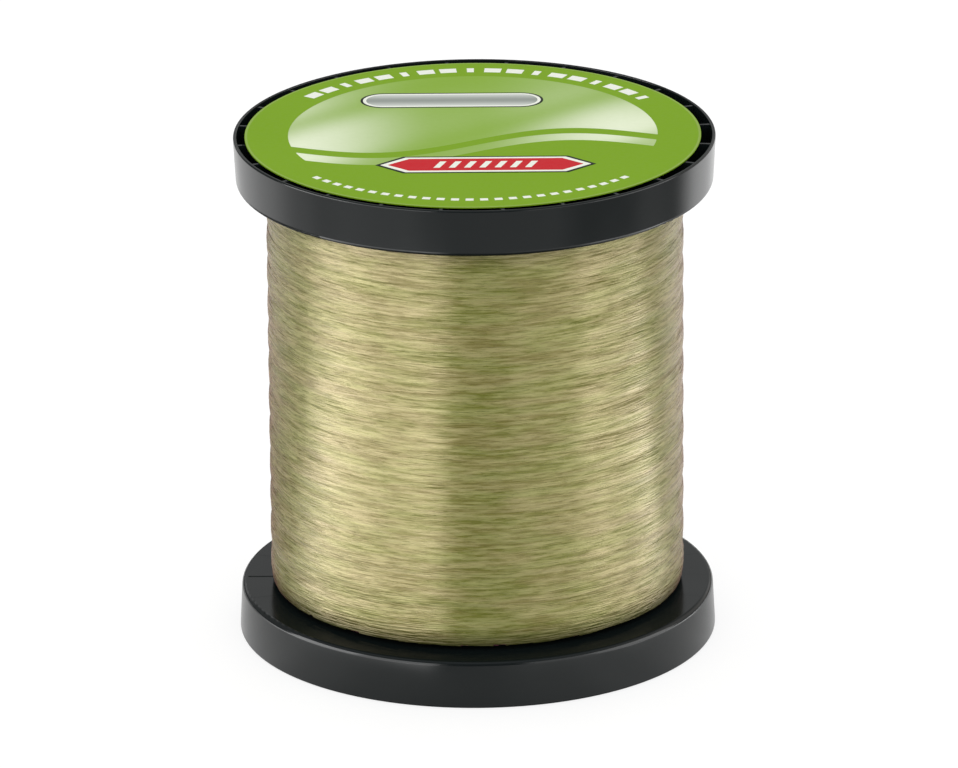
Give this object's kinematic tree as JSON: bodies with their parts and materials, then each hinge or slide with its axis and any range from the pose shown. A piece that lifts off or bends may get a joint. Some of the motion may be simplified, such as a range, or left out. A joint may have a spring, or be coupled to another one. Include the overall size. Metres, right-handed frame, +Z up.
{
  "type": "fishing line spool",
  "caption": "Bulk fishing line spool: two ribbed round flanges snapped on a spoked barrel, full of wound monofilament, with round end labels.",
  "frame": {"origin": "centre of the circle that the lower flange stands on, on the spool's axis", "axes": "+Z up along the spool's axis, -Y towards the viewer of the picture, +X to the viewer's right"},
  "size_m": [0.115, 0.115, 0.1244],
  "materials": {
    "flange_plastic": "gloss",
    "barrel_plastic": "satin",
    "nylon_line": "gloss",
    "label_paper": "satin",
    "tape_film": "gloss"
  },
  "bodies": {
    "root": {"lower_flange": "flange_plastic", "upper_flange": "flange_plastic", "barrel": "barrel_plastic", "line_winding": "nylon_line", "upper_label": "label_paper", "lower_label": "label_paper", "start_tape": "tape_film", "end_tape": "tape_film"}
  },
  "joints": []
}
